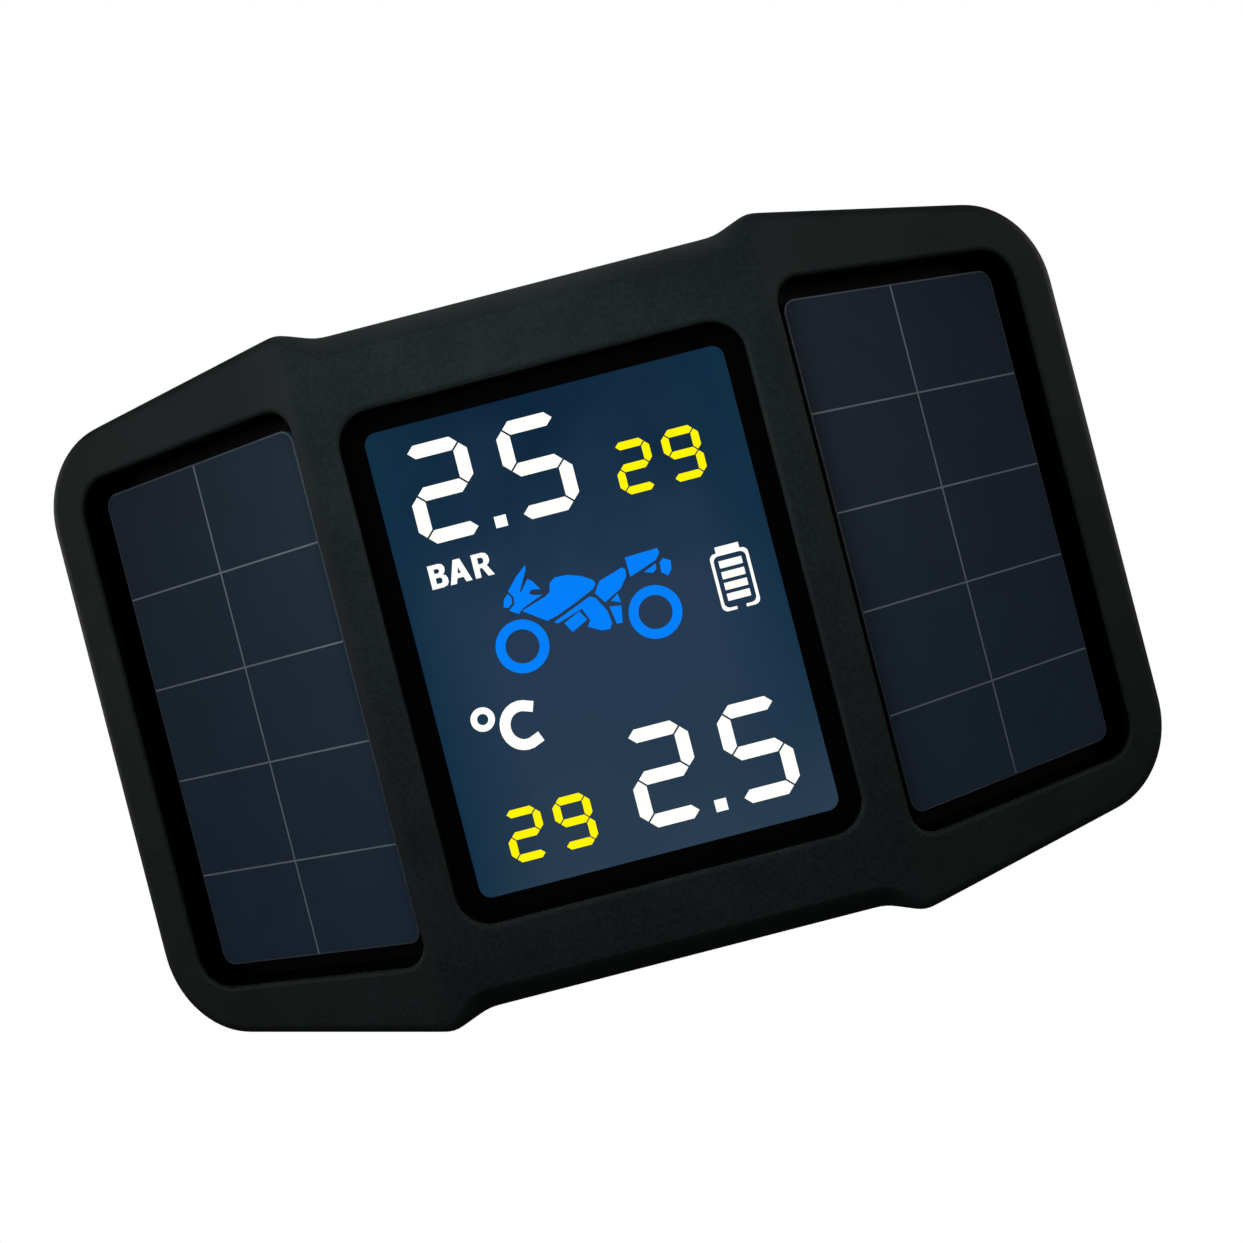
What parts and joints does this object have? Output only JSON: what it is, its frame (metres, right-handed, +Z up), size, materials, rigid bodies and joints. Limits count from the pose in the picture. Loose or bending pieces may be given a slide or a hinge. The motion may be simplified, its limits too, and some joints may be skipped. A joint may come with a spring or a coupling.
{
  "type": "tire pressure monitor",
  "caption": "Motorcycle tyre pressure monitor with a flat display section, swept-back solar wings, a sprung set button and a hinged charging port cover.",
  "frame": {"origin": "centre of the footprint when the monitor stands on its two lower crests", "axes": "+X to the viewer's right along the width, +Y from the display towards the rear mounting pad, +Z up"},
  "size_m": [0.097, 0.025, 0.06],
  "materials": {
    "housing_plastic": "fine moulded grain",
    "cover_plastic": "fine moulded grain",
    "seal_rubber": "smooth silicone",
    "lens_glass": "polished",
    "black_tape": "black adhesive film",
    "lcd_glass": "polished, lit from behind",
    "light_guide": "polished",
    "led_package": "glossy",
    "white_plastic": "moulded",
    "ribbon_film": "polyimide film",
    "board_laminate": "solder mask",
    "chip_plastic": "moulded epoxy",
    "tinned_steel": "tinned",
    "ferrite": "sintered",
    "ceramic_chip": "fired",
    "copper": "drawn copper wire",
    "screw_steel": "stainless",
    "battery_pouch": "aluminium laminate pouch",
    "foam_tape": "closed-cell foam",
    "wire_rubber": "silicone insulation",
    "solar_cell": "epoxy-coated silicon",
    "cover_rubber": "satin silicone",
    "button_rubber": "satin silicone",
    "insert_brass": "machined"
  },
  "bodies": {
    "root": {"front_housing": "housing_plastic", "rear_cover": "cover_plastic", "housing_seal": "seal_rubber", "display_lens": "lens_glass", "lens_tape": "black_tape", "lcd_glass": "lcd_glass", "backlight_panel": "light_guide", "backlight_leds": "led_package", "lcd_frame": "white_plastic", "lcd_ribbon": "ribbon_film", "ribbon_connector": "white_plastic", "main_board": "board_laminate", "microcontroller": "chip_plastic", "radio_receiver": "chip_plastic", "crystal": "tinned_steel", "charge_controller": "chip_plastic", "power_inductor": "ferrite", "chip_capacitors": "ceramic_chip", "motion_sensor": "chip_plastic", "buzzer": "chip_plastic", "antenna_coil": "copper", "board_screws": "screw_steel", "battery": "battery_pouch", "battery_tape": "foam_tape", "battery_leads": "wire_rubber", "battery_connector": "white_plastic", "solar_panel_left": "solar_cell", "solar_panel_right": "solar_cell", "panel_tape_left": "foam_tape", "panel_tape_right": "foam_tape", "panel_leads_left": "wire_rubber", "panel_leads_right": "wire_rubber", "usb_shell": "tinned_steel", "usb_tongue": "chip_plastic", "cover_pin": "screw_steel", "switch_body": "chip_plastic", "switch_frame": "tinned_steel", "case_screws": "screw_steel", "bracket_inserts": "insert_brass"},
    "port_cover": {"usb_cover": "cover_rubber"},
    "button": {"set_button": "button_rubber", "switch_plunger": "white_plastic"}
  },
  "joints": [
    {"name": "port_cover_hinge", "type": "hinge", "parent": "root", "child": "port_cover", "pos_m": [0, 0.0106, 0.0046], "axis": [-1, 0, 0], "range_deg": [0, 100]},
    {"name": "set_button_press", "type": "slide", "parent": "root", "child": "button", "axis": [0, 0, -1], "range_m": [0, 0.0004], "stiffness_N_per_m": 600}
  ]
}
